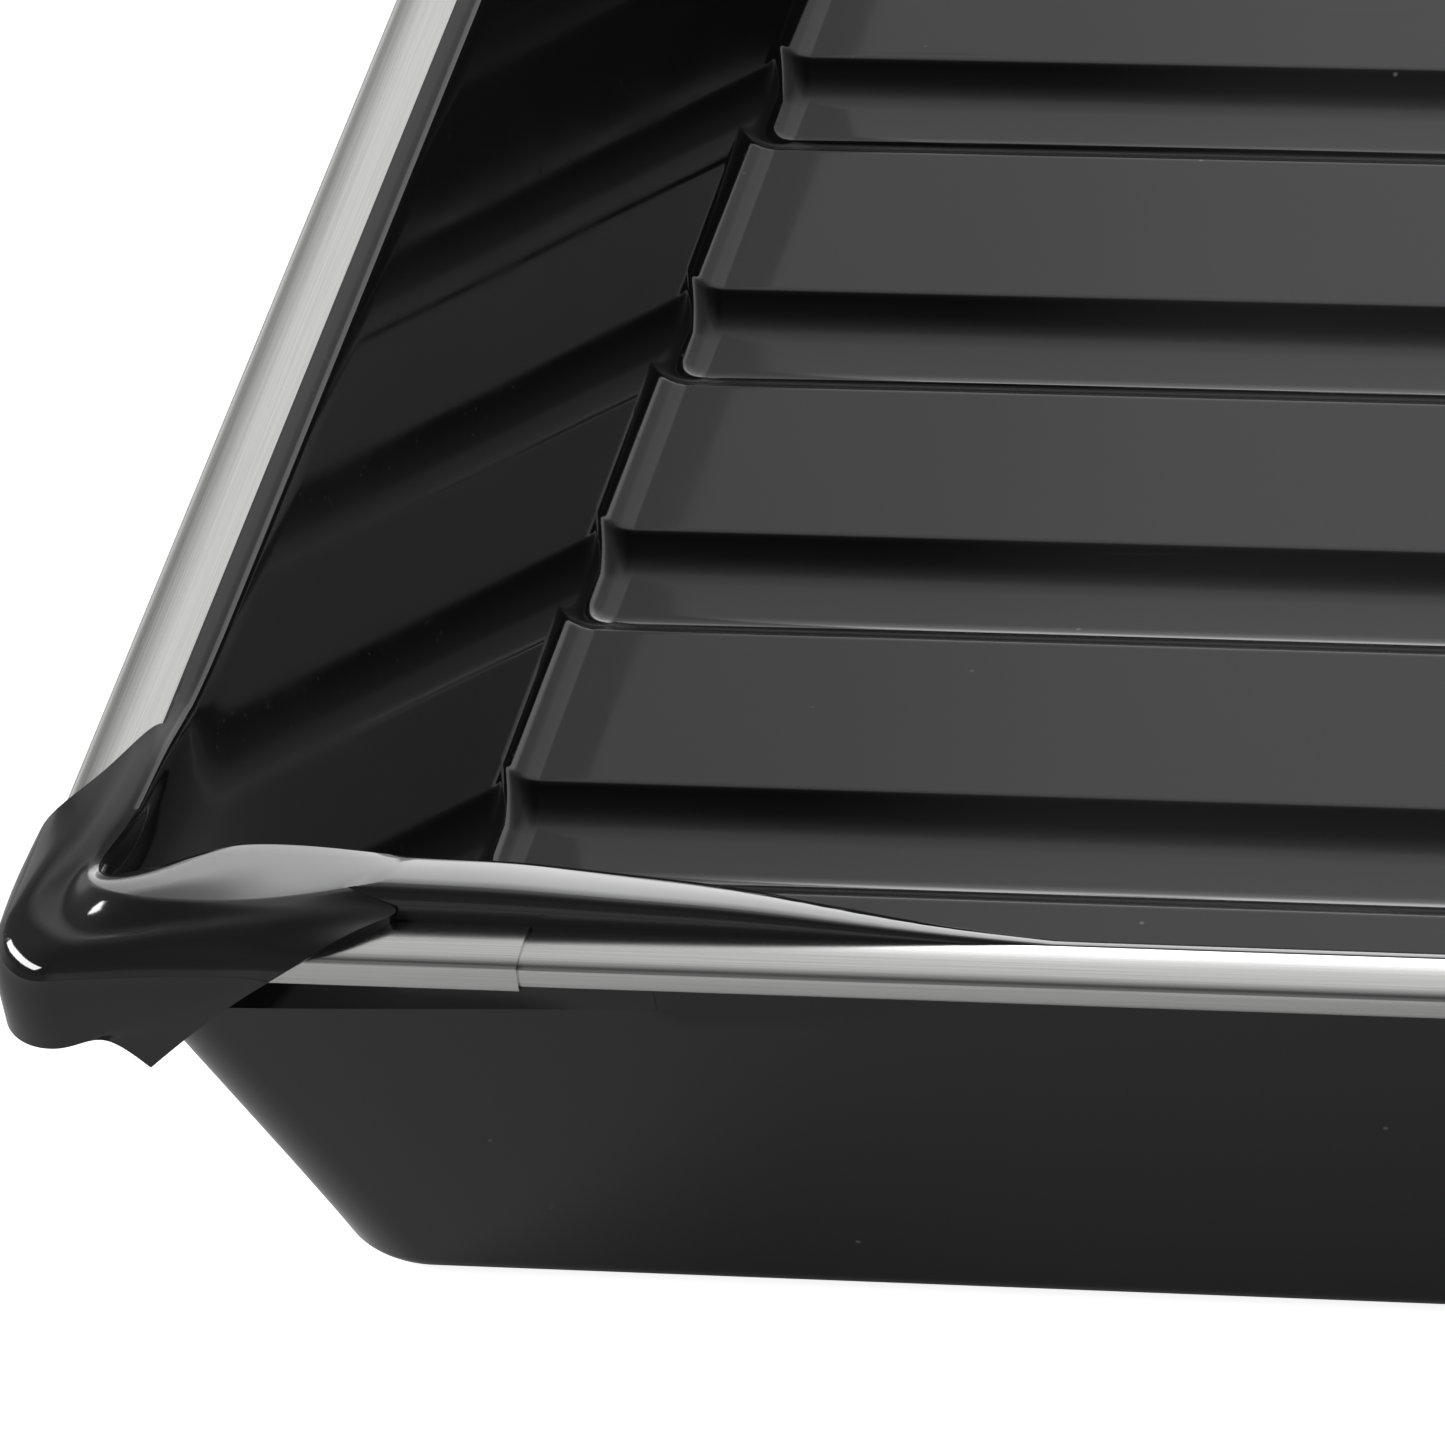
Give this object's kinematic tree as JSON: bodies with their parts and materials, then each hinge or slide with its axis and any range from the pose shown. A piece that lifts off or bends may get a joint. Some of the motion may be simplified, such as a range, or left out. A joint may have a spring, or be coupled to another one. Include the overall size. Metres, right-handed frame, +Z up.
{
  "type": "developing tray",
  "caption": "Deep black plastic tray for developing large photographic prints, with a grooved floor, steel channels along the rim and pouring lips at the corners.",
  "frame": {"origin": "under the middle of the tray, on the surface it stands on", "axes": "+X along the long sides and the floor's grooves, +Y along the short sides, +Z up"},
  "size_m": [0.6456, 0.5456, 0.0858],
  "materials": {
    "tray_plastic": "glossy black, formed sheet",
    "rim_steel": "drawn stainless steel, brushed along its length"
  },
  "bodies": {
    "root": {"tray_shell": "tray_plastic", "rim_channel_front": "rim_steel", "rim_channel_rear": "rim_steel", "rim_channel_left": "rim_steel", "rim_channel_right": "rim_steel", "end_sleeve_front_left": "rim_steel", "end_sleeve_front_right": "rim_steel", "end_sleeve_rear_left": "rim_steel", "end_sleeve_rear_right": "rim_steel"}
  },
  "joints": []
}
